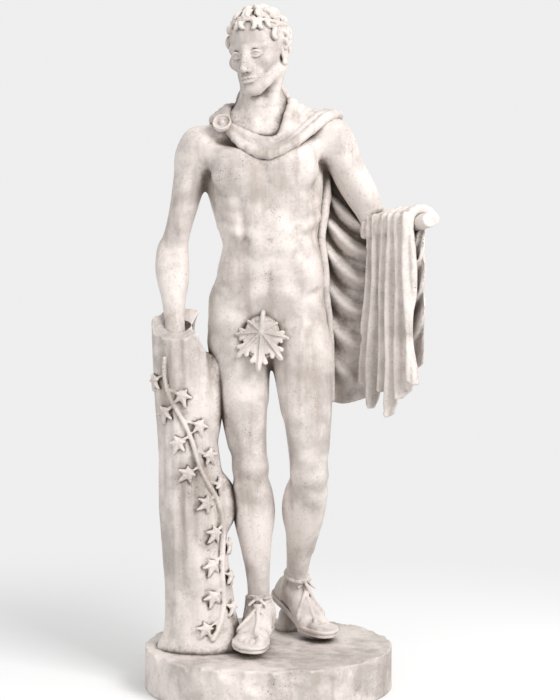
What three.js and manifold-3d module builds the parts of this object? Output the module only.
// A life-size marble statue: a standing youth with a cloak pinned on one shoulder, next to a
// tree trunk that holds the figure up, on a round plinth, all carved from one block of stone.
// Sizes are in millimetres, z points up and the figure faces -y. The figure is modelled with
// z = 0 on top of the plinth, and the finished block is lifted so that z = 0 is its underside.

import * as THREE from "three";
import { mergeVertices } from "three/addons/utils/BufferGeometryUtils.js";
import Module from "manifold-3d";

const PLINTH = { radius: 362, height: 122 };

// How finely the stone is sampled, and how many triangles are kept.
const SAMPLE_STEP = 10;
const MOST_TRIANGLES = 9600;

const RIGHT = -1;
const LEFT = 1;

// Small vector helpers on [x, y, z] arrays
const plus = (a, b) => [a[0] + b[0], a[1] + b[1], a[2] + b[2]];
const minus = (a, b) => [a[0] - b[0], a[1] - b[1], a[2] - b[2]];
const times = (a, s) => [a[0] * s, a[1] * s, a[2] * s];
const dot = (a, b) => a[0] * b[0] + a[1] * b[1] + a[2] * b[2];
const size = (a) => Math.hypot(a[0], a[1], a[2]);
const size2 = (a, b) => (a[0] - b[0]) ** 2 + (a[1] - b[1]) ** 2 + (a[2] - b[2]) ** 2;
const unit = (a) => times(a, 1 / size(a));
const mix = (a, b, t) => plus(a, times(minus(b, a), t));
const cross = (a, b) => [
  a[1] * b[2] - a[2] * b[1],
  a[2] * b[0] - a[0] * b[2],
  a[0] * b[1] - a[1] * b[0],
];
const clamp = (v, low, high) => Math.min(high, Math.max(low, v));
const blendOf = (v, low, high) => {
  const t = clamp((v - low) / (high - low), 0, 1);
  return t * t * (3 - 2 * t);
};

// A right-handed set of directions at a place, turned about z, leant forward about x and
// tilted sideways about y, in degrees. A positive tilt lifts the figure's right side.
class Frame {
  constructor(origin, { turn = 0, lean = 0, tilt = 0 } = {}) {
    const angles = [lean, tilt, turn].map(THREE.MathUtils.degToRad);
    const m = new THREE.Matrix4().makeRotationFromEuler(new THREE.Euler(...angles, "ZYX"));
    const e = m.elements;
    this.origin = origin;
    this.axes = [e.slice(0, 3), e.slice(4, 7), e.slice(8, 11)];
  }

  dir(x, y, z) {
    const [a, b, c] = this.axes;
    return plus(plus(times(a, x), times(b, y)), times(c, z));
  }

  at(x, y, z) {
    return plus(this.origin, this.dir(x, y, z));
  }
}

// A bone from a to b. Places on it are given by the share t of its length, the distance out
// to the limb's outer side and the distance to its front.
class Bone {
  constructor(a, b, front, side) {
    this.a = a;
    this.b = b;
    this.along = unit(minus(b, a));
    this.front = unit(minus(front, times(this.along, dot(front, this.along))));
    this.outer = times(cross(this.along, this.front), -side);
  }

  at(t, out = 0, front = 0) {
    const offset = plus(times(this.outer, out), times(this.front, front));
    return plus(mix(this.a, this.b, t), offset);
  }

  get axes() {
    return [this.outer, this.front, this.along];
  }
}

// Every form has at(x, y, z), its signed distance, negative inside, and gap(x, y, z), which
// is never more than the true distance.

// An ellipsoid with its radii along three axes
function egg(centre, radii, axes = [[1, 0, 0], [0, 1, 0], [0, 0, 1]]) {
  const [cx, cy, cz] = centre;
  const [u, v, w] = axes;
  const [ru, rv, rw] = radii;
  const reach = Math.max(ru, rv, rw);
  return {
    at(x, y, z) {
      const p = [x - cx, y - cy, z - cz];
      const a = dot(p, u) / ru;
      const b = dot(p, v) / rv;
      const c = dot(p, w) / rw;
      const k = Math.sqrt(a * a + b * b + c * c);
      const g = Math.hypot(a / ru, b / rv, c / rw);
      return g < 1e-9 ? -Math.min(ru, rv, rw) : (k * (k - 1)) / g;
    },
    gap: (x, y, z) => Math.hypot(x - cx, y - cy, z - cz) - reach,
  };
}

// A tapered limb with round ends. Squash makes it thinner, by that factor, along `across`.
function limb(a, b, ra, rb, across = null, squash = 1) {
  const ab = minus(b, a);
  const length2 = dot(ab, ab);
  const dr = ra - rb;
  const a2 = length2 - dr * dr;
  const il2 = 1 / length2;
  const distance = (p) => {
    const y = dot(p, ab);
    const z = y - length2;
    const q = [
      p[0] * length2 - ab[0] * y,
      p[1] * length2 - ab[1] * y,
      p[2] * length2 - ab[2] * y,
    ];
    const x2 = dot(q, q);
    const y2 = y * y * length2;
    const z2 = z * z * length2;
    const k = Math.sign(dr) * dr * dr * x2;
    if (Math.sign(z) * a2 * z2 > k) return Math.sqrt(x2 + z2) * il2 - rb;
    if (Math.sign(y) * a2 * y2 < k) return Math.sqrt(x2 + y2) * il2 - ra;
    return (Math.sqrt(x2 * a2 * il2) + y * dr) * il2 - ra;
  };
  if (a2 <= 0) {
    const [c, r] = ra > rb ? [a, ra] : [b, rb];
    return egg(c, [r, r, r]);
  }
  const middle = mix(a, b, 0.5);
  const reach = Math.sqrt(length2) / 2 + Math.max(ra, rb);
  return {
    at(x, y, z) {
      const p = [x - a[0], y - a[1], z - a[2]];
      if (!across) return distance(p);
      const s = dot(p, across) * (1 / squash - 1);
      return distance(plus(p, times(across, s))) * squash;
    },
    gap: (x, y, z) => Math.hypot(x - middle[0], y - middle[1], z - middle[2]) - reach,
  };
}

// A smooth row of values through stations [t, ...values], read at any t between the ends
const SAMPLES = 96;

function profile(stations) {
  const slope = (n, i) => {
    const a = stations[Math.max(n - 1, 0)];
    const b = stations[Math.min(n + 1, stations.length - 1)];
    return (b[i] - a[i]) / (b[0] - a[0]);
  };
  const [first, last] = [stations[0][0], stations.at(-1)[0]];
  const rows = [];
  for (let k = 0; k <= SAMPLES; k++) {
    const t = first + ((last - first) * k) / SAMPLES;
    const n = Math.max(0, stations.findIndex((s) => s[0] >= t) - 1);
    const [a, b] = [stations[n], stations[n + 1]];
    const gap = b[0] - a[0];
    const u = (t - a[0]) / gap;
    const row = a.slice(1).map((value, j) => {
      const i = j + 1;
      const [u2, u3] = [u * u, u * u * u];
      const start = value * (2 * u3 - 3 * u2 + 1) + slope(n, i) * gap * (u3 - 2 * u2 + u);
      return start + b[i] * (3 * u2 - 2 * u3) + slope(n + 1, i) * gap * (u3 - u2);
    });
    rows.push(row);
  }
  return (t) => {
    const k = clamp(((t - first) / (last - first)) * SAMPLES, 0, SAMPLES - 1e-6);
    const n = Math.floor(k);
    return rows[n].map((value, i) => value + (rows[n + 1][i] - value) * (k - n));
  };
}

// A body of oval sections along a bone or a frame's z axis. Its stations give, at a distance
// along the axis, the section's centre to the outer side and to the front, and its half
// width and half depth. Round caps of the end sections close it.
function loft(origin, [outer, front, along], stations) {
  const read = profile(stations);
  const [first, last] = [stations[0][0], stations.at(-1)[0]];
  const widest = Math.max(...stations.map((s) => Math.max(s[3], s[4]) + Math.hypot(s[1], s[2])));
  const middle = plus(origin, times(along, (first + last) / 2));
  const reach = (last - first) / 2 + widest;
  return {
    at(x, y, z) {
      const p = [x - origin[0], y - origin[1], z - origin[2]];
      const t = dot(p, along);
      const [co, cf, wide, deep] = read(t);
      const beyond = t < first ? t - first : Math.max(t - last, 0);
      const cap = Math.min(wide, deep);
      const a = (dot(p, outer) - co) / wide;
      const b = (dot(p, front) - cf) / deep;
      const c = beyond / cap;
      const k = Math.sqrt(a * a + b * b + c * c);
      const g = Math.hypot(a / wide, b / deep, c / cap);
      return g < 1e-9 ? -cap : (k * (k - 1)) / g;
    },
    gap: (x, y, z) => Math.hypot(x - middle[0], y - middle[1], z - middle[2]) - reach,
  };
}

const along = (bone, stations) => {
  const length = size(minus(bone.b, bone.a));
  return loft(bone.a, bone.axes, stations.map(([t, ...rest]) => [t * length, ...rest]));
};

const join = (a, b, k) => {
  const h = k > 0 ? Math.max(k - Math.abs(a - b), 0) / k : 0;
  return Math.min(a, b) - (h * h * k) / 4;
};

// Stone that is built up and cut away in order, each stroke with its own soft blend
class Stone {
  constructor(strokes = []) {
    this.strokes = strokes;
  }

  add(form, blend = 0) {
    this.strokes.push({ form, blend, cut: false });
    return this;
  }

  cut(form, blend = 0) {
    this.strokes.push({ form, blend, cut: true });
    return this;
  }

  at(x, y, z) {
    let d = 1e6;
    for (const { form, blend, cut } of this.strokes) {
      const other = form.at(x, y, z);
      d = cut ? -join(-d, other, blend) : join(d, other, blend);
    }
    return d;
  }

  gap(x, y, z) {
    let d = 1e6;
    for (const { form, blend, cut } of this.strokes) {
      if (!cut) d = Math.min(d, form.gap(x, y, z) - blend / 4);
    }
    return d;
  }

  // The same stone with only the strokes that can matter within `reach` of a point
  near(x, y, z, reach) {
    const kept = [];
    for (const { form, blend, cut } of this.strokes) {
      const around = reach + 2.5 * blend + 6;
      if (form.gap(x, y, z) > around) continue;
      const inner = form.near ? form.near(x, y, z, around) : form;
      if (!inner.strokes || inner.strokes.length) kept.push({ form: inner, blend, cut });
    }
    return new Stone(kept);
  }
}

// A chain of limbs through points, each with its own radius
function chain(points, radii, blend = 0, across = null, squash = 1) {
  const stone = new Stone();
  for (let i = 0; i + 1 < points.length; i++) {
    stone.add(limb(points[i], points[i + 1], radii[i], radii[i + 1], across, squash), blend);
  }
  return stone;
}

// Points on a smooth curve through the given ones
function curve(points, count) {
  const path = new THREE.CatmullRomCurve3(points.map((p) => new THREE.Vector3(...p)));
  return path.getPoints(count).map((p) => p.toArray());
}

// The pose: joints in figure space

const PELVIS = new Frame([-2, 8, 985], { tilt: 6, turn: -4, lean: 2 });
const CHEST = new Frame([-6, 10, 1320], { tilt: -5, turn: 2, lean: -3 });
const HEAD = new Frame([-28, -8, 1722], { turn: -26, lean: 9, tilt: -4 });

const ARMS = {
  right: { shoulder: [-200, 14, 1462], elbow: [-280, 40, 1150], wrist: [-268, -52, 896] },
  left: { shoulder: [174, 4, 1492], elbow: [326, 44, 1210], wrist: [462, -150, 1240] },
};
const LEGS = {
  right: { hip: [-90, 5, 980], knee: [-54, -22, 522], ankle: [-27, 2, 85], toes: -8, heel: 0 },
  left: { hip: [86, 5, 948], knee: [122, -70, 507], ankle: [84, 136, 130], toes: 36, heel: 24 },
};
const NECK = { base: [-14, 36, 1520], top: [-26, 16, 1646] };

function thighAndShin(side, { hip, knee, ankle, toes }) {
  const bend = [Math.sin(THREE.MathUtils.degToRad(toes)), -1, 0];
  const front = [bend[0] * 0.6, -1, 0];
  const thigh = new Bone(hip, knee, front, side);
  const shin = new Bone(knee, ankle, front, side);
  return { thigh, shin };
}

function leg(side, pose) {
  const { thigh, shin } = thighAndShin(side, pose);
  const on = (bone, t, out, front, radii) => egg(bone.at(t, out, front), radii, bone.axes);
  const run = (bone, t0, o0, f0, t1, o1, f1, r0, r1) =>
    limb(bone.at(t0, o0, f0), bone.at(t1, o1, f1), r0, r1);
  return new Stone()
    .add(along(thigh, [
      [-0.06, 8, -14, 70, 88], [0.08, 6, -8, 84, 92], [0.2, 4, -2, 86, 90], [0.38, 4, 3, 80, 84],
      [0.58, 3, 5, 70, 76], [0.76, 1, 4, 59, 65], [0.9, -1, 1, 52, 58], [1, -2, -1, 50, 56],
    ]))
    .add(along(shin, [
      [0, -2, -1, 50, 56], [0.08, -1, -3, 49, 53], [0.18, 1, -9, 55, 57], [0.29, 1, -12, 59, 60],
      [0.42, -1, -10, 54, 56], [0.58, -3, -7, 42, 46], [0.78, -3, -6, 33, 38],
      [0.92, 0, -8, 33, 39], [1.02, 0, -10, 35, 42],
    ]), 16)
    // the thigh's long muscles
    .add(run(thigh, 0.1, 8, 44, 0.74, 2, 40, 46, 26), 22)
    .add(run(thigh, 0.2, 48, 16, 0.84, 30, 14, 40, 22), 22)
    .add(run(thigh, 0.62, -26, 26, 0.86, -26, 22, 34, 24), 14)
    .add(run(thigh, 0.1, -40, 4, 0.56, -30, -4, 46, 34), 24)
    .add(run(thigh, 0.3, -16, -42, 0.97, -28, -34, 34, 16), 18)
    .add(run(thigh, 0.3, 22, -42, 0.97, 28, -34, 34, 15), 18)
    // the knee: its cap, the pads beside the tendon below it, and the shin's knob
    .add(on(thigh, 0.985, 0, 44, [25, 15, 30]), 14)
    .add(on(thigh, 0.93, -24, 30, [19, 17, 26]), 14)
    .add(on(thigh, 0.92, 24, 28, [16, 16, 26]), 14)
    .add(on(shin, 0.055, -16, 38, [12, 12, 17]), 10)
    .add(on(shin, 0.055, 16, 38, [12, 11, 16]), 10)
    .add(on(shin, 0.12, 2, 41, [12, 12, 24]), 12)
    // the calf, its two heads, the shin's edge and the muscle beside it
    .add(on(shin, 0.27, -27, -32, [33, 34, 92]), 20)
    .add(on(shin, 0.235, 27, -30, [29, 32, 82]), 20)
    .add(run(shin, 0.12, 22, 20, 0.6, 9, 14, 27, 20), 18)
    .add(run(shin, 0.1, -10, 32, 0.84, -11, 16, 15, 12), 14)
    .add(run(shin, 0.62, 0, -36, 1.03, 0, -48, 14, 12), 14)
    // the ankle's two knobs
    .add(on(shin, 0.985, -28, -2, [13, 17, 19]), 12)
    .add(on(shin, 1.02, 28, -12, [12, 15, 18]), 12);
}

// A foot stands on the plinth. Places on it are given as forward of the ankle, out to the
// little toe's side and up, and the part behind the ball of the foot is raised by the heel.
class Foot {
  constructor(side, { ankle, toes, heel }, sole) {
    const a = THREE.MathUtils.degToRad(toes);
    this.forward = [Math.sin(a), -Math.cos(a), 0];
    this.outer = times(cross([0, 0, -1], this.forward), -side);
    this.ball = { forward: 128, up: sole };
    this.pitch = THREE.MathUtils.degToRad(heel);
    this.sole = sole;
    const flat = this.raised(0, sole + 82);
    this.origin = [
      ankle[0] - this.forward[0] * flat[0],
      ankle[1] - this.forward[1] * flat[0],
      0,
    ];
  }

  raised(forward, up) {
    if (forward >= this.ball.forward) return [forward, up];
    const f = forward - this.ball.forward;
    const u = up - this.ball.up;
    const [c, s] = [Math.cos(this.pitch), Math.sin(this.pitch)];
    return [this.ball.forward + f * c + u * s, this.ball.up + u * c - f * s];
  }

  at(forward, out, up) {
    const [f, u] = this.raised(forward, up + this.sole);
    return plus(plus(this.origin, times(this.forward, f)), plus(times(this.outer, out), [0, 0, u]));
  }
}

const SOLE = 20;
// The toes from the big one out: the forward reach of the tip, the side offset and the radius
const TOES = [
  { tip: 212, out: -31, radius: 15.5 },
  { tip: 214, out: -7, radius: 11 },
  { tip: 203, out: 12, radius: 10.5 },
  { tip: 188, out: 29, radius: 10 },
  { tip: 168, out: 45, radius: 9.5 },
];

function foot(side, pose) {
  const f = new Foot(side, pose, SOLE);
  const run = (a, b, ra, rb, squash = 1) => {
    const up = cross(unit(minus(f.at(...b), f.at(...a))), f.outer);
    return limb(f.at(...a), f.at(...b), ra, rb, unit(up), squash);
  };
  const stone = new Stone()
    .add(run([-36, 0, 34], [10, 0, 40], 33, 34))
    .add(run([-44, 0, 60], [-38, 0, 28], 24, 31), 20)
    .add(run([0, -2, 70], [76, -12, 44], 36, 28), 26)
    .add(run([20, 14, 42], [96, 22, 26], 32, 24), 26)
    .add(run([60, -14, 44], [140, -20, 21], 28, 22), 24)
    .add(run([128, -27, 19], [138, 26, 16], 20, 16), 22)
    .add(run([40, 36, 16], [132, 36, 14], 18, 15), 20);
  for (const { tip, out, radius } of TOES) {
    const knuckle = [tip - 40, out * 0.97, radius + 7];
    const end = [tip - radius, out, radius - 1];
    const toe = new Stone()
      .add(limb(f.at(132, out * 0.86, radius + 3), f.at(...knuckle), radius, radius * 0.92))
      .add(limb(f.at(...knuckle), f.at(...end), radius * 0.92, radius * 0.94), 4)
      .add(egg(f.at(tip - radius * 0.9, out, radius - 1), [1, 1.05, 0.86].map((k) => k * radius)), 3);
    stone.add(toe, 5);
  }
  return stone;
}

// A flat plate with a soft outline: circles [u, v, radius] joined along a line in the plane of
// the first two axes, from `low` to `high` along the third
function plate(origin, [uAxis, vAxis, up], circles, low, high) {
  const reach = Math.max(...circles.map(([u, v, r]) => Math.hypot(u, v) + r)) + high - low;
  const outline = chain(circles.map(([u, v]) => [u, v, 0]), circles.map((c) => c[2]), 0);
  return {
    at(x, y, z) {
      const p = [x - origin[0], y - origin[1], z - origin[2]];
      const h = dot(p, up);
      const inside = outline.at(dot(p, uAxis), dot(p, vAxis), 0);
      return -join(-inside, -Math.max(h - high, low - h), 2);
    },
    gap: (x, y, z) => Math.hypot(x - origin[0], y - origin[1], z - origin[2]) - reach,
  };
}

// The sandal's two-layer sole follows the foot's outline and bends at the ball of the foot.
const SOLE_OUTLINE = [
  [-40, 0, 37], [0, 2, 38], [45, 5, 41], [90, 6, 46], [128, 4, 51], [160, 0, 51], [188, -8, 42],
  [203, -16, 32],
];

function sandal(side, pose) {
  const f = new Foot(side, pose, SOLE);
  const stone = new Stone();
  const layer = (circles, low, high, grow) => {
    const start = f.at(0, 0, 0);
    const [a, b] = [f.at(circles[0][0], 0, 0), f.at(circles[1][0], 0, 0)];
    const ahead = unit(minus(b, a));
    const up = unit(cross(ahead, times(f.outer, -side)));
    const origin = circles[0][0] >= f.ball.forward ? minus(a, times(ahead, circles[0][0])) : start;
    const grown = circles.map(([u, v, r]) => [u, v, r + grow]);
    return plate(origin, [ahead, f.outer, up], grown, low, high);
  };
  const back = SOLE_OUTLINE.slice(0, 5);
  const front = SOLE_OUTLINE.slice(4);
  for (const part of [back, front]) {
    stone.add(layer(part, -SOLE, -11, 3));
    stone.add(layer(part, -10, 0, 0));
    stone.add(layer(part, -14, -6, -2));
  }
  return stone;
}

// The sandal's straps lie on the skin: one between the toes to the instep, two that cross over
// the instep, and a band round the ankle with a tie in front.
function straps(side, pose, skin) {
  const f = new Foot(side, pose, SOLE);
  const stone = new Stone();
  const strap = (points, centres, radius, closed = false) => {
    const settled = points.map((p, i) => settle(skin, f.at(...p), f.at(...centres[i]), 1, 22));
    if (closed) settled.push(settled[0]);
    const line = curve(settled, points.length * 3);
    stone.add(chain(line, line.map(() => radius), 2), 2);
  };
  const inner = (forward, up) => [forward, 0, up];
  strap([[176, -17, 24], [150, -17, 52], [112, -14, 66], [74, -8, 84], [40, -2, 104]],
    [inner(176, 4), inner(150, 10), inner(112, 20), inner(74, 30), inner(24, 60)], 7);
  for (const s of [-1, 1]) {
    strap([[100, s * 52, 4], [96, s * 46, 36], [70, s * 20, 74], [36, -s * 14, 108], [0, -s * 40, 112]],
      [inner(100, 4), inner(96, 16), inner(70, 24), inner(24, 60), inner(0, 90)], 7);
    strap([[-14, s * 44, 4], [-12, s * 44, 40], [-6, s * 42, 84], [-4, s * 42, 112]],
      [inner(-14, 4), inner(-12, 36), inner(-6, 84), inner(-4, 112)], 7);
  }
  const band = [];
  for (let n = 0; n < 12; n++) {
    const a = (n * Math.PI) / 6;
    band.push([-6 + 50 * Math.cos(a), 44 * Math.sin(a), 116 + 6 * Math.cos(a)]);
  }
  strap(band, band.map(([, , up]) => [-6, 0, up]), 8, true);
  const knot = settle(skin, f.at(46, 0, 122), f.at(-6, 0, 116), 4, 22);
  stone.add(egg(knot, [14, 11, 11]), 4);
  for (const s of [-1, 1]) {
    stone.add(limb(knot, plus(knot, [s * 26, -8, -22]), 6, 5), 3);
    stone.add(limb(knot, plus(knot, [s * 24, -6, 12]), 8, 6), 3);
  }
  return stone;
}

// A stone left standing under the raised heel
function prop() {
  const f = new Foot(LEFT, LEGS.left, SOLE);
  const heel = f.at(-6, 0, -SOLE);
  return limb([heel[0], heel[1], -10], plus(heel, [0, 0, -10]), 34, 26);
}

function torso() {
  const on = (frame, x, y, z, radii) => egg(frame.at(x, y, z), radii, frame.axes);
  const run = (frame, a, b, ra, rb) => limb(frame.at(...a), frame.at(...b), ra, rb);
  const stone = new Stone()
    .add(loft(PELVIS.origin, PELVIS.axes, [
      [-90, 0, 6, 90, 74], [-50, 0, 6, 146, 96], [-10, 0, 6, 166, 104], [35, 0, 2, 160, 100],
      [80, 0, 0, 148, 94], [130, 0, -2, 136, 90],
    ]))
    .add(loft(CHEST.origin, CHEST.axes, [
      [-190, 0, -2, 134, 88], [-130, 0, 0, 138, 93], [-60, 0, 2, 152, 104], [0, 0, 4, 162, 111],
      [60, 0, 8, 166, 110], [105, 0, 16, 166, 100], [145, 0, 24, 150, 82], [185, 0, 30, 104, 62],
    ]), 40)
    .add(on(CHEST, 0, 4, 168, [96, 60, 44]), 30);
  for (const s of [RIGHT, LEFT]) {
    stone
      // the broad muscle of the back, up to the arm
      .add(run(CHEST, [s * 128, 30, 96], [s * 104, 40, -100], 46, 34), 34)
      // the breast, and its run up to the arm
      .add(on(CHEST, s * 72, -72, 52, [82, 43, 64]), 20)
      .add(run(CHEST, [s * 88, -66, 86], [s * 172, -26, 128], 42, 34), 26)
      // the collar bone
      .add(run(CHEST, [s * 20, -50, 168], [s * 150, -14, 176], 13, 13), 18)
      // the side of the belly, which bulges over the hip
      .add(on(PELVIS, s * 104, -8, 92, [46, 72, 62]), 30)
      // the long muscles beside the spine
      .add(run(CHEST, [s * 36, 82, 40], [s * 40, 70, -150], 34, 32), 26)
      .add(run(PELVIS, [s * 40, 66, 120], [s * 44, 72, 50], 32, 26), 26)
      // the shoulder blade
      .add(on(CHEST, s * 88, 84, 96, [64, 30, 74]), 34)
      // the seat
      .add(on(PELVIS, s * 76, 62, -34, [78, 64, 80]), 34)
      // the slope from the neck to the shoulder
      .add(limb(mix(NECK.base, NECK.top, 0.35), CHEST.at(s * 158, 18, 158), 50, 36), 44);
    // three rows of the belly's squares, and the long one below them
    for (const [z, height] of [[-66, 34], [-120, 32], [-168, 30]]) {
      stone.add(on(CHEST, s * 31, -86, z, [35, 17, height]), 14);
    }
    stone.add(on(PELVIS, s * 30, -78, 44, [38, 24, 74]), 16);
    // ribs under the breast
    for (let i = 0; i < 3; i++) {
      const z = -22 - i * 40;
      stone.add(run(CHEST, [s * 136, -28, z + 16], [s * 98, -70, z - 12], 14, 12), 22);
    }
  }
  // the middle groove, the hollow between the breasts, and the navel
  stone
    .cut(run(CHEST, [0, -120, 96], [0, -114, -190], 9, 7), 18)
    .cut(run(PELVIS, [0, -116, 128], [0, -114, 60], 7, 6), 14)
    .cut(on(PELVIS, 0, -106, 104, [6, 12, 8]), 7);
  // the two grooves that run from the hips to the groin
  for (const s of [RIGHT, LEFT]) {
    const groin = [[146, -46, 64], [112, -92, 40], [78, -112, 0], [40, -118, -48]];
    const line = curve(groin.map(([x, y, z]) => PELVIS.at(s * x, y, z)), 6);
    stone.cut(chain(line, line.map(() => 8), 4), 18);
  }
  return stone;
}

function arm(side, { shoulder, elbow, wrist }, front, broken) {
  const upper = new Bone(shoulder, elbow, front, side);
  const fore = new Bone(elbow, wrist, front, side);
  const on = (bone, t, out, f, radii) => egg(bone.at(t, out, f), radii, bone.axes);
  const run = (bone, t0, o0, f0, t1, o1, f1, r0, r1) =>
    limb(bone.at(t0, o0, f0), bone.at(t1, o1, f1), r0, r1);
  const stone = new Stone()
    .add(along(upper, [
      [0, -8, 0, 48, 52], [0.14, 0, 0, 52, 57], [0.34, 2, 0, 47, 53], [0.56, 0, 2, 41, 50],
      [0.78, 0, 1, 37, 43], [0.92, 0, -1, 39, 38], [1, 0, -2, 40, 36],
    ]))
    .add(along(fore, [
      [0, 0, -2, 40, 36], [0.16, 3, 2, 45, 41], [0.34, 2, 2, 42, 38], [0.58, 1, 0, 34, 30],
      [0.8, 0, 0, 29, 24], [0.94, 0, 0, 30, 21], [1.08, 0, 0, 32, 21],
    ]), 18)
    // the shoulder cap in three heads
    .add(on(upper, 0.1, 18, 2, [42, 50, 74]), 18)
    .add(run(upper, 0.02, 0, 34, 0.34, 12, 22, 32, 18), 14)
    .add(run(upper, 0.02, 0, -34, 0.34, 12, -22, 32, 18), 14)
    // the two sides of the upper arm, and the forearm's two masses
    .add(on(upper, 0.58, -4, 26, [30, 28, 80]), 16)
    .add(on(upper, 0.5, 6, -26, [32, 28, 96]), 16)
    .add(on(upper, 1.0, 0, -20, [24, 20, 22]), 12)
    .add(on(fore, 0.18, 24, 6, [24, 28, 76]), 16)
    .add(on(fore, 0.22, -20, 6, [24, 28, 78]), 16);
  // the hand is lost, and the break is rough
  const end = fore.at(broken, 0, 0);
  const away = plus(end, times(fore.along, 120));
  return stone.cut(egg(away, [119, 119, 119], fore.axes), 2);
}

function neck() {
  const stone = new Stone().add(limb(NECK.base, NECK.top, 57, 54));
  for (const s of [RIGHT, LEFT]) {
    stone
      // the cord of muscle from the collar to behind the ear
      .add(limb(CHEST.at(s * 12, -56, 176), HEAD.at(s * 56, 26, -44), 11, 17), 18)
      .add(limb(plus(NECK.base, [s * 30, 16, 20]), plus(NECK.top, [s * 22, 26, 20]), 34, 28), 24);
  }
  stone.add(egg(mix(CHEST.at(0, -52, 178), HEAD.at(0, -40, -110), 0.62), [12, 12, 20]), 16);
  return stone;
}

function bare() {
  const body = new Stone();
  body.add(torso());
  body.add(neck(), 26);
  body.add(leg(RIGHT, LEGS.right), 26);
  body.add(leg(LEFT, LEGS.left), 22);
  body.add(foot(RIGHT, LEGS.right), 16);
  body.add(foot(LEFT, LEGS.left), 16);
  body.add(arm(RIGHT, ARMS.right, [0, -1, 0], 1.0), 26);
  body.add(arm(LEFT, ARMS.left, [0.3, -0.6, 0.7], 0.98), 26);
  return body;
}

// The head in its own frame: x to the figure's left, -y forward, z up, 240 mm from chin to crown
function head() {
  const f = HEAD;
  const on = (x, y, z, radii) => egg(f.at(x, y, z), radii, f.axes);
  const run = (a, b, ra, rb) => limb(f.at(...a), f.at(...b), ra, rb);
  const stone = new Stone()
    .add(on(0, 16, 34, [77, 98, 84]))
    .add(on(0, -18, 6, [68, 76, 78]), 24)
    .add(run([0, -50, -30], [0, -58, -84], 52, 38), 30)
    .add(on(0, -78, -101, [25, 19, 19]), 16);
  for (const s of [RIGHT, LEFT]) {
    stone
      .add(run([s * 56, 2, -52], [s * 20, -66, -98], 22, 18), 22)
      .add(on(s * 45, -54, -24, [26, 28, 26]), 20)
      .add(run([s * 6, -88, 22], [s * 56, -62, 24], 11, 12), 12)
      .cut(on(s * 34, -96, 2, [22, 22, 15]), 14)
      .add(on(s * 33, -64, 0, [19, 19, 16]), 5)
      .add(run([s * 17, -80, -6], [s * 50, -70, -4], 5, 5), 5)
      .add(run([s * 17, -82, 7], [s * 50, -70, 8], 5, 6), 6)
      .add(on(s * 12, -100, -46, [8, 11, 8]), 6);
  }
  for (const s of [RIGHT, LEFT]) {
    stone
      .add(egg(f.at(s * 76, 12, -12), [9, 19, 31], f.axes), 4)
      .cut(on(s * 84, 8, -6, [6, 9, 17]), 4)
      .add(on(s * 76, 6, -34, [8, 9, 10]), 5);
  }
  stone
    .add(run([0, -86, 22], [0, -108, -42], 12, 12), 10)
    .add(on(0, -110, -43, [11, 11, 10]), 6)
    .add(on(0, -84, -72, [30, 20, 20]), 10)
    .add(run([-16, -94, -66], [16, -94, -66], 6.5, 6.5), 5)
    .add(run([-12, -95, -77], [12, -95, -77], 7.5, 7.5), 5)
    .cut(run([-22, -98, -71], [22, -98, -71], 2.2, 2.2), 5)
    .cut(on(0, -101, -90, [18, 8, 6]), 8);
  return stone;
}

// The cloak

// A point moved towards a centre until it lies `lift` above a stone's skin
function settle(stone, point, centre, lift, start = 70) {
  const inward = unit(minus(centre, point));
  let p = minus(point, times(inward, start));
  for (let n = 0; n < 60; n++) {
    p = plus(p, times(inward, clamp(stone.at(...p) - lift, -8, 30) * 0.8));
  }
  return p;
}

const hump = (v) => (Math.abs(v) < 1 ? (1 - v * v) ** 2 : 0);

// Folds on a cloth that hangs from two ends: each is a line [x, z] from one place to another
// that sags in between, with a rounded ridge or, where it is negative, a hollow along it
function folds(lines) {
  return (x, z) => {
    let height = 0;
    for (const { from, to, sag, wide, tall } of lines) {
      const span = to[0] - from[0];
      const u = (x - from[0]) / span;
      if (u <= 0 || u >= 1) continue;
      const line = from[1] + (to[1] - from[1]) * u - 4 * sag * u * (1 - u);
      const slope = (to[1] - from[1] - 4 * sag * (1 - 2 * u)) / span;
      const off = (z - line) / Math.hypot(1, slope);
      const open = 0.55 + 0.45 * Math.sin(Math.PI * u);
      height += tall * hump(off / (wide * open)) * blendOf(u, 0, 0.12) * blendOf(1 - u, 0, 0.08);
    }
    return height;
  };
}

// Hanging cloth: a wall over a line in plan, n = line(u), from hem(u) to top(u), between
// `back` and `front` of that line, each face moved by the relief of its folds
function curtain({ origin, across, facing, stations, front, back, reach, trim = () => [0, 0] }) {
  const read = profile(stations);
  const centre = plus(origin, reach.centre);
  const [first, last] = [stations[0][0], stations.at(-1)[0]];
  const slopeStep = 4;
  return {
    at(x, y, z) {
      const p = [x - origin[0], y - origin[1], 0];
      const u = dot(p, across);
      const [line, top, hem, behind, ahead] = read(u);
      const slope = (read(u + slopeStep)[0] - read(u - slopeStep)[0]) / (2 * slopeStep);
      const n = (dot(p, facing) - line) / Math.hypot(1, slope);
      const v = clamp(u, first, last);
      let d = -join(-(n - ahead - front(v, z)), n + behind + back(v, z), 6);
      d = -join(-d, -(z - top), 12);
      d = -join(-d, -(hem - z), 8);
      const [start, end] = trim(z);
      d = -join(-d, -(first + start - u), 8);
      d = -join(-d, -(u - last - end), 8);
      return d * 0.75;
    },
    gap: (x, y, z) => Math.hypot(x - centre[0], y - centre[1], z - centre[2]) - reach.radius,
  };
}

// The cloak over the back: sections from below the seat up to the neck
const MANTLE = [
  [660, 30, 22, 168, 118], [900, 24, 22, 172, 122], [1060, 10, 16, 172, 116],
  [1200, 4, 12, 168, 122], [1340, 0, 14, 182, 130], [1430, -2, 20, 186, 122],
  [1490, -4, 24, 178, 108], [1530, -8, 28, 146, 92], [1560, -12, 32, 108, 78],
  [1585, -14, 34, 82, 68],
];
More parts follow.
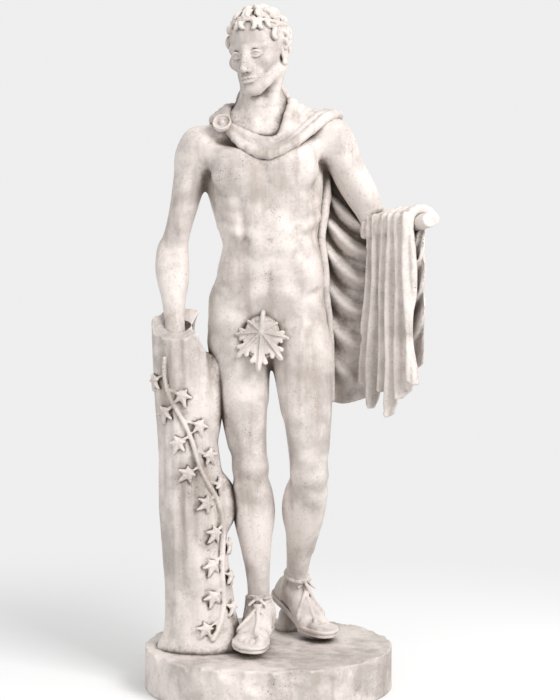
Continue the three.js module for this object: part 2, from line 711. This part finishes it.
// Its hem rises from the left thigh to the right hip: stations of x, the hem's z
const MANTLE_HEM = [
  [-200, 1130], [-150, 1085], [-60, 985], [20, 890], [80, 812], [130, 752], [180, 712], [240, 700],
];
const BACK_FOLDS = [
  { from: [-190, 1470], to: [30, 930], sag: -30, wide: 30, tall: 15 },
  { from: [-150, 1500], to: [110, 850], sag: -40, wide: 34, tall: 18 },
  { from: [-104, 1540], to: [196, 800], sag: -46, wide: 36, tall: 18 },
  { from: [-60, 1560], to: [300, 830], sag: -30, wide: 38, tall: 19 },
  { from: [-20, 1575], to: [380, 900], sag: 10, wide: 38, tall: 19 },
  { from: [20, 1585], to: [420, 990], sag: 60, wide: 36, tall: 18 },
  { from: [60, 1570], to: [430, 1080], sag: 90, wide: 34, tall: 16 },
];

function mantle() {
  const body = loft([0, 0, 0], [[1, 0, 0], [0, 1, 0], [0, 0, 1]], MANTLE);
  const hem = profile(MANTLE_HEM);
  const relief = folds(BACK_FOLDS);
  return {
    at(x, y, z) {
      const side = clamp(x, -200, 240);
      let d = body.at(x, y, z) - relief(x, z) * blendOf(y, 20, 90);
      const edge = -150 + 0.24 * (1500 - z) + 10 * Math.sin(z / 46);
      d = -join(-d, -(edge - x), 12);
      d = -join(-d, -(hem(side)[0] + 7 * Math.sin(x / 19) - z), 10);
      return -join(-d, -(36 - y), 10) * 0.9;
    },
    gap: (x, y, z) => body.gap(x, y, z) - 20,
  };
}

// The cloak between the back and the forearm. Its stations: x, the line's place in front of
// y = 0, the top, the hem, and the thickness behind and in front of the line.
const WALL = [
  [86, -112, 1520, 800, 10, 14], [122, -110, 1500, 752, 13, 14], [160, -108, 1470, 716, 14, 14],
  [210, -102, 1400, 698, 14, 14], [262, -92, 1310, 706, 14, 14], [318, -80, 1250, 728, 14, 14],
  [360, -48, 1254, 756, 14, 14], [400, 18, 1260, 786, 14, 14], [446, 100, 1262, 830, 14, 12],
];
const SWAGS = [
  { from: [120, 1500], to: [330, 1252], sag: 6, wide: 24, tall: 26 },
  { from: [96, 1500], to: [372, 1250], sag: 56, wide: 28, tall: 30 },
  { from: [78, 1490], to: [404, 1246], sag: 122, wide: 30, tall: 32 },
  { from: [62, 1470], to: [428, 1240], sag: 192, wide: 32, tall: 34 },
  { from: [48, 1440], to: [446, 1232], sag: 262, wide: 34, tall: 34 },
  { from: [34, 1390], to: [462, 1216], sag: 326, wide: 36, tall: 34 },
  { from: [20, 1320], to: [478, 1180], sag: 372, wide: 38, tall: 32 },
  { from: [10, 1230], to: [492, 1120], sag: 398, wide: 36, tall: 26 },
];

function cloakWall() {
  const ridges = folds(SWAGS);
  const behind = folds(BACK_FOLDS);
  const waves = (x, z) => 5 * Math.sin(x / 17 + 0.6) * blendOf(1000 - z, 60, 260);
  return curtain({
    origin: [0, 0, 0],
    across: [1, 0, 0],
    facing: [0, -1, 0],
    stations: WALL,
    front: (x, z) => ridges(x, z) - 8 + waves(x, z),
    back: (x, z) => behind(x, z) + 4 - waves(x, z),
    reach: { centre: [266, 20, 1110], radius: 480 },
  });
}

// The end of the cloak falls over the forearm in pleats that open towards a ragged hem.
const FALL = { length: 196, top: 1258, hem: 706 };
const PLEATS = [
  { at: 10, spread: -26, wide: 20, tall: 22, hem: 44 },
  { at: 42, spread: -12, wide: 22, tall: 30, hem: -30 },
  { at: 76, spread: 0, wide: 20, tall: 24, hem: 26 },
  { at: 108, spread: 8, wide: 22, tall: 30, hem: -46 },
  { at: 142, spread: 18, wide: 20, tall: 26, hem: 10 },
  { at: 176, spread: 34, wide: 22, tall: 24, hem: 64 },
];

function cloakFall() {
  const { elbow, wrist } = ARMS.left;
  const ahead = unit([wrist[0] - elbow[0], wrist[1] - elbow[1], 0]);
  const facing = [ahead[1], -ahead[0], 0];
  const origin = plus([elbow[0], elbow[1], 0], times(ahead, 4));
  const ridges = (u, z) => {
    const down = blendOf(FALL.top - z, 20, 520);
    let height = -9;
    for (const { at, spread, wide, tall } of PLEATS) {
      const centre = at + spread * down + 4 * Math.sin(z / 64 + at);
      const open = wide * (0.72 + 0.42 * down);
      height += tall * (0.55 + 0.45 * down) * hump((u - centre) / open);
    }
    return height;
  };
  const stations = [];
  for (let n = 0; n <= 24; n++) {
    const u = -24 + (n / 24) * (FALL.length + 48);
    let hem = FALL.hem + 46;
    for (const pleat of PLEATS) hem += (pleat.hem - 34) * hump((u - pleat.at - pleat.spread) / 24);
    stations.push([u, 44 + 0.02 * u, FALL.top + 0.03 * u, hem, 11, 11]);
  }
  return curtain({
    origin,
    across: ahead,
    facing,
    stations,
    front: ridges,
    back: (u, z) => 3 - 0.6 * ridges(u, z),
    reach: { centre: [60, -100, 985], radius: 400 },
    trim: (z) => {
      const down = blendOf(FALL.top - z, 10, 500);
      return [20 - 22 * down + 7 * Math.sin(z / 43), -26 + 28 * down + 9 * Math.sin(z / 57 + 1)];
    },
  });
}

// Folds that cross over the forearm, from the wall behind it to the fall in front
function cloakOverArm() {
  const { elbow, wrist } = ARMS.left;
  const fore = new Bone(elbow, wrist, [0, 0, 1], LEFT);
  const stone = new Stone();
  for (let n = 0; n < 8; n++) {
    const t = 0.02 + n * 0.112;
    const r = 45 - 15 * t;
    const points = [-84, -50, -8, 40, 76, 104].map((degrees) => {
      const a = THREE.MathUtils.degToRad(degrees);
      const slip = 0.0005 * degrees * (1 + 0.4 * Math.sin(2.3 * n));
      return fore.at(t - slip, -Math.sin(a) * (r + 8), Math.cos(a) * (r + 3));
    });
    const line = curve(points, 8);
    const radius = 12.5 + 2 * Math.sin(1.9 * n);
    stone.add(chain(line, line.map(() => radius), 4), 7);
  }
  return stone;
}

// The cloak's bunched upper edge: strands from the brooch over the chest and left shoulder
const BROOCH = { at: [-132, -40, 1512], radius: 27, thick: 12 };
const STRANDS = 6;

function cloakCollar(skin) {
  const centre = [-6, 24, 1420];
  const stone = new Stone();
  const strand = (points, radii, blend) => {
    const settled = points.map((p) => settle(skin, p, centre, 7));
    const line = curve(settled, 16);
    const read = profile(radii.map((r, i) => [i / (radii.length - 1), r]));
    stone.add(chain(line, line.map((_, i) => read(i / 16)[0]), 3), blend);
  };
  for (let n = 0; n < STRANDS; n++) {
    const s = n / (STRANDS - 1);
    strand(
      [
        plus(BROOCH.at, [12, -4, 10 - 26 * s]),
        [-72 - 8 * s, -80, 1500 - 46 * s],
        [-10, -100, 1488 - 62 * s],
        [58 + 16 * s, -90, 1506 - 50 * s],
        [70 + 96 * s, -30, 1560 - 26 * s],
        [74 + 128 * s, 24, 1580 - 40 * s],
        [76 + 104 * s, 90, 1530 - 50 * s],
        [84 + 76 * s, 130, 1440 - 40 * s],
      ],
      [9, 13, 15, 14, 15, 16, 15, 12],
      6,
    );
  }
  // round the back of the neck and over the right shoulder to the brooch
  strand(
    [[66, 10, 1580], [56, 84, 1580], [-20, 108, 1580], [-84, 84, 1570], [-126, 22, 1560], BROOCH.at],
    [14, 15, 16, 15, 14, 10],
    8,
  );
  for (let n = 0; n < 4; n++) {
    const s = n / 3;
    strand(
      [
        plus(BROOCH.at, [-6 * s, 6, 6]),
        [-112 - 44 * s, 30, 1556 - 24 * s],
        [-84 - 60 * s, 90, 1524 - 34 * s],
        [-56 - 60 * s, 118, 1470 - 30 * s],
      ],
      [9, 14, 14, 4],
      8,
    );
  }
  return stone;
}

function brooch() {
  const { at, radius, thick } = BROOCH;
  const f = new Frame(plus(at, [0, -14, 6]), { lean: -34, turn: -12 });
  const [x, y, z] = f.axes;
  return new Stone()
    .add(plate(f.origin, [x, z, times(y, -1)], [[0, 0, radius], [0.1, 0, radius]], -thick, thick / 2))
    .cut(egg(f.at(0, -thick * 1.5, 0), [radius - 6, thick, radius - 6], f.axes), 3)
    .add(egg(f.at(0, -2, 0), [9, 9, 9], f.axes), 3);
}

// A leaf lies on a bent sheet. In its frame, x is across, z runs up the stalk and -y is its
// face. Its outline is a flat chain of lobes, and a vein stands up along each lobe.
function blade(frame, lobes, { thick, bow, vein, teeth = [] }) {
  const flat = (x, z) => [x, 0, z];
  const outline = new Stone();
  const veins = [];
  let reach = 0;
  for (const { angle, length, wide, from = 0 } of lobes) {
    const a = THREE.MathUtils.degToRad(angle);
    const along = ([share, side]) => {
      const b = a + side;
      return [Math.sin(b) * length * share, -Math.cos(b) * length * share];
    };
    const tip = along([1, 0]);
    const start = along([from, 0]);
    const end = times(tip, 1 - (wide * 0.3) / length);
    outline.add(limb(flat(...start), flat(end[0], end[1]), wide, wide * 0.3), 4);
    veins.push([start, end]);
    for (const { share, side, size: r } of teeth) {
      const [x, z] = along([share, side]);
      outline.add(limb(flat(...along([share * 0.7, 0])), flat(x, z), r * wide, r * wide * 0.7), 3);
    }
    reach = Math.max(reach, length + wide);
  }
  const ridge = (x, z) => {
    let nearest = 1e3;
    for (const [[ax, az], [bx, bz]] of veins) {
      const [dx, dz] = [bx - ax, bz - az];
      const t = clamp(((x - ax) * dx + (z - az) * dz) / (dx * dx + dz * dz), 0, 1);
      nearest = Math.min(nearest, Math.hypot(x - ax - dx * t, z - az - dz * t) / (1.2 - 0.6 * t));
    }
    return vein.tall * (hump(nearest / vein.wide) - 0.35 * hump((nearest - 2.2 * vein.wide) / 7));
  };
  return {
    at(px, py, pz) {
      const p = minus([px, py, pz], frame.origin);
      const [x, y, z] = frame.axes.map((axis) => dot(p, axis));
      const sheet = bow(x, z);
      const edge = outline.at(x, 0, z);
      const n = Math.abs(y - sheet) - thick / 2;
      const face = y < sheet ? n - ridge(x, z) : n;
      return -join(-edge, -face, thick * 0.5) * 0.85;
    },
    gap: (x, y, z) => size(minus([x, y, z], frame.origin)) - reach - 20,
  };
}

const FIG_LOBES = [
  { angle: 0, length: 112, wide: 25 },
  { angle: 42, length: 98, wide: 22 }, { angle: -42, length: 98, wide: 22 },
  { angle: 84, length: 80, wide: 20 }, { angle: -84, length: 80, wide: 20 },
  { angle: 128, length: 56, wide: 18 }, { angle: -128, length: 56, wide: 18 },
];
const FIG_TEETH = [
  { share: 0.5, side: 0.34, size: 0.55 }, { share: 0.5, side: -0.34, size: 0.55 },
  { share: 0.76, side: 0.22, size: 0.45 }, { share: 0.76, side: -0.22, size: 0.45 },
];

function figLeaf() {
  const frame = new Frame(PELVIS.at(-2, -126, -62), { lean: -13, turn: -4, tilt: 4 });
  const bow = (x, z) => 0.0034 * x * x + 0.0012 * (z + 20) ** 2 + 5 * Math.sin(x / 13) * (Math.abs(x) / 90);
  const sheet = { thick: 11, bow, vein: { tall: 5, wide: 5 }, teeth: FIG_TEETH };
  return new Stone()
    .add(egg(frame.at(0, 26, -6), [52, 30, 66], frame.axes))
    .add(blade(frame, FIG_LOBES, sheet), 4)
    .add(limb(frame.at(0, -4, 0), frame.at(0, 8, 62), 9, 7), 5);
}

// The trunk beside the right leg
const TRUNK = {
  base: [-194, -34, 0],
  top: [-256, -38, 905],
  stations: [
    [-30, 0, 0, 140, 124], [10, 0, 0, 132, 118], [50, 2, 0, 112, 104], [120, 2, 0, 100, 94],
    [300, 0, 0, 92, 88], [430, 4, 0, 95, 86], [600, 2, 0, 85, 80], [780, 0, 0, 82, 77],
    [940, 0, 0, 80, 75],
  ],
};

function trunk() {
  const { base, top, stations } = TRUNK;
  const bone = new Bone(base, top, [0, -1, 0], RIGHT);
  const [outer, front, up] = bone.axes;
  const body = loft(base, bone.axes, stations);
  const bark = {
    at(x, y, z) {
      const p = minus([x, y, z], base);
      const t = dot(p, up);
      const a = Math.atan2(dot(p, outer), dot(p, front));
      const fade = blendOf(t, -10, 160);
      const ridges = Math.sin(9 * a + 0.006 * t) + 0.6 * Math.sin(14 * a - 0.011 * t + 1.3);
      return body.at(x, y, z) - 2.6 * ridges * (0.4 + 0.6 * fade);
    },
    gap: (x, y, z) => body.gap(x, y, z) - 5,
  };
  return new Stone()
    .add(bark)
    // the cut branch that meets the thigh, and the knob that meets the calf
    .add(limb([-196, -30, 650], [-152, -18, 812], 56, 48), 26)
    .add(egg([-138, -24, 415], [46, 44, 84]), 26)
    .cut(limb([-150, -40, 922], [-150, 0, 922], 70, 70), 4)
    // the slanting top, sunk in the middle
    .cut(egg([-280, -190, 1080], [240, 240, 190]), 4)
    .cut(egg(plus(top, [0, 20, 4]), [52, 46, 40]), 6);
}

// Ivy climbs the front of the trunk in a long S: a stem with leaves
const IVY = { low: 40, high: 850, stem: 9, leaves: 17 };

function ivyAt(t) {
  const { base, top, stations } = TRUNK;
  const bone = new Bone(base, top, [0, -1, 0], RIGHT);
  const read = profile(stations);
  const h = IVY.low + (IVY.high - IVY.low) * t;
  const a = 0.25 + 0.8 * Math.sin(4.52 * t + 0.1) + 0.1 * Math.sin(t * 19);
  const [, , wide, deep] = read(h);
  return { bone, h, a, wide, deep };
}

function onTrunk(t, sideways, lift) {
  const { bone, h, a, wide, deep } = ivyAt(t);
  const angle = a + sideways / wide;
  const [o, f] = [Math.sin(angle), Math.cos(angle)];
  const p = plus(bone.a, times(bone.along, h));
  const spot = plus(plus(p, times(bone.outer, o * (wide + lift))), times(bone.front, f * (deep + lift)));
  return { spot, outward: unit(plus(times(bone.outer, o), times(bone.front, f))) };
}

const IVY_LOBES = [
  { angle: 0, length: 40, wide: 13 },
  { angle: 58, length: 32, wide: 11 }, { angle: -58, length: 32, wide: 11 },
  { angle: 122, length: 22, wide: 10 }, { angle: -122, length: 22, wide: 10 },
];

function ivy() {
  const stone = new Stone();
  const points = Array.from({ length: 72 }, (_, n) => onTrunk(n / 71, 0, 5).spot);
  stone.add(chain(points, points.map((_, n) => IVY.stem * (1 - 0.35 * (n / 71))), 2));
  for (let n = 0; n < IVY.leaves; n++) {
    const t = 0.04 + (0.94 * n) / IVY.leaves;
    const side = n % 2 ? 1 : -1;
    const { spot, outward } = onTrunk(t, side * 36, 9);
    const rise = unit(minus([0, 0, 1], times(outward, outward[2])));
    const sideways = cross(outward, rise);
    const swing = side * 0.6 + 0.4 * Math.sin(3.7 * n);
    const up = plus(times(rise, Math.cos(swing)), times(sideways, Math.sin(swing)));
    const frame = { origin: spot, axes: [cross(times(outward, -1), up), times(outward, -1), up] };
    const bow = (x, z) => 0.006 * (x * x + z * z) - 3;
    stone.add(blade(frame, IVY_LOBES, { thick: 9, bow, vein: { tall: 2.5, wide: 4 } }), 3);
    stone.add(limb(spot, onTrunk(t + 0.02, 0, 5).spot, 4, 4.5), 3);
  }
  return stone;
}

// Hair: a cap over the skull, with locks that run from the crown down to a band round the
// head, and curls below the band
function hairLocks() {
  const f = HEAD;
  const skull = { centre: [0, 16, 36], radii: [80, 101, 87] };
  const stone = new Stone();
  const onSkull = (direction, lift) => {
    const [dx, dy, dz] = unit(direction);
    const r = 1 / Math.hypot(dx / skull.radii[0], dy / skull.radii[1], dz / skull.radii[2]);
    return plus(skull.centre, times([dx, dy, dz], r + lift));
  };
  const lock = (around, start, end, swing, thick, lift) => {
    const points = [];
    for (let n = 0; n <= 4; n++) {
      const t = n / 4;
      const polar = THREE.MathUtils.degToRad(start + (end - start) * t);
      const turn = THREE.MathUtils.degToRad(around + swing * Math.sin(t * 4.4));
      const direction = [Math.sin(polar) * Math.sin(turn), 0, Math.cos(polar)];
      direction[1] = -Math.sin(polar) * Math.cos(turn);
      points.push(f.at(...onSkull(direction, lift + thick * 0.3 * Math.sin(t * Math.PI))));
    }
    stone.add(chain(points, [0.7, 1, 1, 0.85, 0.45].map((k) => k * thick), 2), 2.5);
  };
  // the crown, combed down from the top of the head
  for (let n = 0; n < 22; n++) {
    const around = (n * 360) / 22;
    lock(around, 8, 36, 7, 7, 2);
    lock(around + 8, 32, 64, 6, 8, 3);
  }
  // curls in rows below the band, leaving the face free
  for (const [row, polar] of [74, 92, 110, 126].entries()) {
    const count = 20 - row * 2;
    for (let n = 0; n < count; n++) {
      const around = ((n + 0.5 * (row % 2)) * 360) / count;
      const front = Math.abs(((around + 180) % 360) - 180);
      const free = [28, 62, 84, 104][row];
      if (front < free - (row === 0 ? 28 : 0)) continue;
      lock(around, polar - 12, polar + 10, n % 2 ? 13 : -13, 10.5, 5);
    }
  }
  return stone;
}

function hair() {
  const f = HEAD;
  const band = Array.from({ length: 33 }, (_, n) => {
    const a = (n * Math.PI) / 16;
    return f.at(86 * Math.sin(a), 14 - 106 * Math.cos(a), 62 + 22 * Math.cos(a));
  });
  return new Stone()
    .add(egg(f.at(0, 20, 40), [82, 100, 84], f.axes))
    .cut(egg(f.at(0, -92, -14), [74, 84, 78], f.axes), 6)
    .add(hairLocks(), 5)
    .add(chain(band, band.map(() => 6)), 2);
}

// The round plinth, whose upper edge is chipped, most of all in front
const CHIPS = [
  { angle: -16, size: [40, 30, 26], down: 8 }, { angle: -4, size: [46, 26, 44], down: 22 },
  { angle: 12, size: [52, 26, 24], down: 6 }, { angle: -36, size: [36, 22, 20], down: 2 },
  { angle: 30, size: [34, 20, 15], down: 0 }, { angle: -58, size: [30, 20, 18], down: 0 },
  { angle: 55, size: [24, 16, 12], down: 0 }, { angle: 110, size: [34, 20, 16], down: 0 },
  { angle: 175, size: [40, 22, 20], down: 4 }, { angle: -120, size: [30, 18, 14], down: 0 },
];

function plinth() {
  const { radius, height } = PLINTH;
  const stone = new Stone();
  const axes = [[1, 0, 0], [0, 1, 0], [0, 0, 1]];
  stone.add(plate([0, 0, 0], axes, [[0, 0, radius], [0.1, 0, radius]], -height - 20, 0));
  for (const { angle, size: radii, down } of CHIPS) {
    const a = THREE.MathUtils.degToRad(angle);
    const [x, y] = [Math.sin(a), -Math.cos(a)];
    const turned = [[-y, x, 0], [x, y, 0], [0, 0, 1]];
    stone.cut(egg([x * (radius + 8), y * (radius + 8), -down], radii, turned), 4);
  }
  return stone;
}

// The stone as a mesh: marching tetrahedra on a regular grid

const BLOCK = 8;
const TETRAHEDRA = [[0, 1, 2], [0, 2, 1], [1, 0, 2], [1, 2, 0], [2, 0, 1], [2, 1, 0]].map((order, n) => {
  const corners = [0];
  for (const axis of order) corners.push(corners.at(-1) | (1 << axis));
  const odd = n === 1 || n === 2 || n === 5;
  return odd ? [corners[0], corners[2], corners[1], corners[3]] : corners;
});
const ONE_IN = [[0, 1, 2, 3], [1, 0, 3, 2], [2, 0, 1, 3], [3, 0, 2, 1]];
const TWO_IN = [[0, 1, 2, 3], [0, 2, 3, 1], [0, 3, 1, 2], [1, 2, 0, 3], [1, 3, 2, 0], [2, 3, 0, 1]];

function sample(stone, low, high, step) {
  const count = low.map((v, i) => Math.ceil((high[i] - v) / step / BLOCK) * BLOCK + 1);
  const [nx, ny, nz] = count;
  const values = new Float32Array(nx * ny * nz).fill(1e3);
  const half = (BLOCK * step) / 2;
  const reach = half * Math.sqrt(3) + step;
  for (let bz = 0; bz < nz - 1; bz += BLOCK) {
    for (let by = 0; by < ny - 1; by += BLOCK) {
      for (let bx = 0; bx < nx - 1; bx += BLOCK) {
        const c = [bx, by, bz].map((b, i) => low[i] + b * step + half);
        const near = stone.near(...c, reach);
        if (!near.strokes.length) continue;
        for (let k = bz; k <= bz + BLOCK; k++) {
          for (let j = by; j <= by + BLOCK; j++) {
            for (let i = bx; i <= bx + BLOCK; i++) {
              const at = i + nx * (j + ny * k);
              values[at] = near.at(low[0] + i * step, low[1] + j * step, low[2] + k * step);
            }
          }
        }
      }
    }
  }
  return { values, count, low, step };
}

function surface({ values, count, low, step }) {
  const [nx, ny, nz] = count;
  const corner = (c) => (c & 1) + nx * (((c >> 1) & 1) + ny * (c >> 2));
  const made = new Map();
  const points = [];
  const faces = [];
  const place = (n) => [n % nx, Math.floor(n / nx) % ny, Math.floor(n / (nx * ny))];
  const crossing = (cell, a, b) => {
    const [from, to] = a < b ? [a, b] : [b, a];
    const start = cell + corner(from);
    const end = cell + corner(to);
    const key = start * 8 + (from ^ to);
    let index = made.get(key);
    if (index === undefined) {
      const t = clamp(values[start] / (values[start] - values[end]), 0.04, 0.96);
      const p = mix(place(start), place(end), t);
      index = points.length / 3;
      points.push(...p.map((v, i) => low[i] + v * step));
      made.set(key, index);
    }
    return index;
  };
  for (let k = 0; k < nz - 1; k++) {
    for (let j = 0; j < ny - 1; j++) {
      for (let i = 0; i < nx - 1; i++) {
        const cell = i + nx * (j + ny * k);
        let inside = 0;
        for (let c = 0; c < 8; c++) if (values[cell + corner(c)] < 0) inside |= 1 << c;
        if (inside === 0 || inside === 255) continue;
        for (const tet of TETRAHEDRA) {
          const bits = tet.map((c) => (inside >> c) & 1);
          const sum = bits[0] + bits[1] + bits[2] + bits[3];
          const edge = (a, b) => crossing(cell, tet[a], tet[b]);
          if (sum === 1 || sum === 3) {
            const [a, b, c, d] = ONE_IN[bits.indexOf(sum === 1 ? 1 : 0)];
            if (sum === 1) faces.push(edge(a, b), edge(a, c), edge(a, d));
            else faces.push(edge(a, b), edge(a, d), edge(a, c));
          } else if (sum === 2) {
            const [a, b, c, d] = TWO_IN.find(([p, q]) => bits[p] && bits[q]);
            faces.push(edge(a, c), edge(a, d), edge(b, d));
            faces.push(edge(a, c), edge(b, d), edge(b, c));
          }
        }
      }
    }
  }
  return { points: new Float64Array(points), faces: new Int32Array(faces) };
}

// The largest connected part of a surface, without loose crumbs or hollows inside the stone
function largest({ points, faces }) {
  const parent = Int32Array.from({ length: points.length / 3 }, (_, n) => n);
  const find = (n) => {
    while (parent[n] !== n) n = parent[n] = parent[parent[n]];
    return n;
  };
  for (let n = 0; n < faces.length; n += 3) {
    parent[find(faces[n + 1])] = find(faces[n]);
    parent[find(faces[n + 2])] = find(faces[n]);
  }
  const tally = new Map();
  for (const v of faces) tally.set(find(v), (tally.get(find(v)) ?? 0) + 1);
  const [main] = [...tally].sort((a, b) => b[1] - a[1])[0];
  const index = new Int32Array(points.length / 3).fill(-1);
  const kept = [];
  const renamed = [];
  for (const v of faces) {
    if (find(v) !== main) continue;
    if (index[v] < 0) {
      index[v] = kept.length / 3;
      kept.push(points[3 * v], points[3 * v + 1], points[3 * v + 2]);
    }
    renamed.push(index[v]);
  }
  return { points: new Float64Array(kept), faces: new Int32Array(renamed) };
}

// A heap that gives the cheapest item first; an item is [cost, ...]
class Heap {
  items = [];

  push(item) {
    const { items } = this;
    let i = items.push(item) - 1;
    while (i > 0) {
      const parent = (i - 1) >> 1;
      if (items[parent][0] <= item[0]) break;
      items[i] = items[parent];
      i = parent;
    }
    items[i] = item;
  }

  pop() {
    const { items } = this;
    const top = items[0];
    const last = items.pop();
    if (!items.length) return top;
    let i = 0;
    for (;;) {
      let child = 2 * i + 1;
      if (child >= items.length) break;
      if (child + 1 < items.length && items[child + 1][0] < items[child][0]) child++;
      if (items[child][0] >= last[0]) break;
      items[i] = items[child];
      i = child;
    }
    items[i] = last;
    return top;
  }
}

// The point where a sum of squared plane distances is least, or null where it isn't sharp
function lowest(q) {
  const [a, b, c, d, e, f, g, h, i] = q;
  const det = a * (e * h - f * f) - b * (b * h - f * c) + c * (b * f - e * c);
  if (Math.abs(det) < 1e-4 * Math.abs(a * e * h) + 1e-12) return null;
  const x = d * (e * h - f * f) - b * (g * h - f * i) + c * (g * f - e * i);
  const y = a * (g * h - i * f) - d * (b * h - f * c) + c * (b * i - g * c);
  const z = a * (e * i - f * g) - b * (b * i - g * c) + d * (b * f - e * c);
  return [-x / det, -y / det, -z / det];
}

const errorAt = (q, [x, y, z]) =>
  q[0] * x * x + 2 * q[1] * x * y + 2 * q[2] * x * z + 2 * q[3] * x + q[4] * y * y +
  2 * q[5] * y * z + 2 * q[6] * y + q[7] * z * z + 2 * q[8] * z + q[9];

// Fewer triangles: the edges whose loss changes the surface least are collapsed first
function thin({ points, faces }, most, importance) {
  const count = points.length / 3;
  const place = Array.from({ length: count }, (_, v) => Array.from(points.slice(3 * v, 3 * v + 3)));
  const quadric = place.map(() => new Float64Array(10));
  const around = place.map(() => new Set());
  const corners = [];
  for (let n = 0; n < faces.length; n += 3) corners.push([faces[n], faces[n + 1], faces[n + 2]]);
  const normalOf = (p, q, r) => cross(minus(q, p), minus(r, p));
  corners.forEach((face, n) => {
    const [p, q, r] = face.map((v) => place[v]);
    const normal = normalOf(p, q, r);
    const area = size(normal);
    if (area > 0) {
      const m = times(normal, 1 / area);
      const w = area * importance(p);
      const d = -dot(m, p);
      const [a, b, c] = m;
      const plane = [a * a, a * b, a * c, a * d, b * b, b * c, b * d, c * c, c * d, d * d];
      for (const v of face) plane.forEach((value, i) => (quadric[v][i] += value * w));
    }
    for (const v of face) around[v].add(n);
  });
  const stamp = new Int32Array(count);
  const heap = new Heap();
  const consider = (a, b) => {
    const q = quadric[a].map((value, i) => value + quadric[b][i]);
    const middle = mix(place[a], place[b], 0.5);
    const edge = size(minus(place[a], place[b]));
    const choices = [middle, place[a], place[b]];
    const best = lowest([q[0], q[1], q[2], q[3], q[4], q[5], q[6], q[7], q[8]]);
    if (best && size(minus(best, middle)) < 1.2 * edge) choices.unshift(best);
    let target = null;
    let cost = Infinity;
    for (const choice of choices) {
      const e = errorAt(q, choice);
      if (e < cost) [target, cost] = [choice, e];
    }
    heap.push([Math.max(cost, 0) + 1e-3 * edge ** 3, a, b, stamp[a], stamp[b], target]);
  };
  const neighbours = (v) => {
    const found = new Set();
    for (const n of around[v]) for (const u of corners[n]) if (u !== v) found.add(u);
    return found;
  };
  for (let v = 0; v < count; v++) for (const u of neighbours(v)) if (v < u) consider(v, u);
  let left = corners.length;
  while (left > most && heap.items.length) {
    const [, a, b, stampA, stampB, target] = heap.pop();
    if (stamp[a] !== stampA || stamp[b] !== stampB) continue;
    const nearA = neighbours(a);
    const nearB = neighbours(b);
    if ([...nearA].filter((v) => nearB.has(v)).length !== 2) continue;
    const keeps = (v) =>
      [...around[v]].every((n) => {
        const face = corners[n];
        if (face.includes(a) && face.includes(b)) return true;
        const corner = face.map((u) => place[u]);
        const moved = face.map((u) => (u === v ? target : place[u]));
        const before = normalOf(...corner);
        const after = normalOf(...moved);
        const shape = (normal, p) => size(normal) / Math.max(...p.map((q, i) => size2(q, p[(i + 1) % 3])));
        const [was, is] = [shape(before, corner), shape(after, moved)];
        if (is < 0.02 && is < was) return false;
        return was < 0.05 || dot(before, after) > 0.2 * size(before) * size(after);
      });
    if (!keeps(a) || !keeps(b)) continue;
    for (const n of [...around[b]]) {
      const face = corners[n];
      if (face.includes(a)) {
        for (const v of face) around[v].delete(n);
        corners[n] = null;
        left--;
      } else {
        face[face.indexOf(b)] = a;
        around[a].add(n);
      }
    }
    around[b].clear();
    place[a] = target;
    quadric[b].forEach((value, i) => (quadric[a][i] += value));
    stamp[a]++;
    stamp[b] = -1;
    for (const v of neighbours(a)) consider(a, v);
  }
  return { points: place.flat(), faces: corners.filter(Boolean).flat() };
}

// Meshes to solids and back, for the one flat cut under the block
const wasm = await Module();
wasm.setup();

function solid(points, faces) {
  return new wasm.Manifold(
    new wasm.Mesh({
      numProp: 3,
      vertProperties: Float32Array.from(points),
      triVerts: Uint32Array.from(faces),
    }),
  );
}

function solidOf(geometry) {
  const bare = geometry.clone();
  bare.deleteAttribute("normal");
  bare.deleteAttribute("uv");
  const merged = mergeVertices(bare, 1e-3);
  return solid(merged.attributes.position.array, merged.index.array);
}

function geometryOf(cut) {
  const mesh = cut.getMesh();
  const geometry = new THREE.BufferGeometry();
  geometry.setAttribute("position", new THREE.BufferAttribute(mesh.vertProperties, 3));
  geometry.setIndex(new THREE.BufferAttribute(mesh.triVerts, 1));
  return geometry;
}

const skin = bare();
const stone = new Stone();
stone.add(skin);
stone.add(head(), 14);
stone.add(hair(), 2);
stone.add(sandal(RIGHT, LEGS.right), 2);
stone.add(sandal(LEFT, LEGS.left), 2);
stone.add(straps(RIGHT, LEGS.right, skin), 1);
stone.add(straps(LEFT, LEGS.left, skin), 1);
stone.add(prop(), 10);
stone.add(mantle(), 8);
stone.add(cloakWall(), 10);
stone.add(cloakCollar(skin), 4);
stone.add(cloakOverArm(), 4);
stone.add(cloakFall(), 5);
stone.add(brooch(), 2);
stone.add(figLeaf(), 3);
stone.add(trunk(), 8);
stone.add(ivy(), 2);
stone.add(plinth(), 6);

const low = [-440, -420, -PLINTH.height - 44];
const high = [520, 400, 1920];
const carved = largest(surface(sample(stone, low, high, SAMPLE_STEP)));
const thinned = MOST_TRIANGLES > 1e6 ? carved : thin(carved, MOST_TRIANGLES, ([, , z]) => (z > 1600 ? 6 : 1));
const below = new THREE.BoxGeometry(1200, 1200, 200).translate(0, 0, -PLINTH.height - 100);
const block = solid(thinned.points, thinned.faces).subtract(solidOf(below));
const geometry = geometryOf(block);
geometry.translate(0, 0, PLINTH.height);

const marble = new THREE.MeshStandardMaterial({ color: 0xc9bfb8, roughness: 0.62, metalness: 0 });
const statue = new THREE.Group();
const figure = new THREE.Mesh(geometry, marble);
figure.name = "statue";
statue.add(figure);

export default statue;
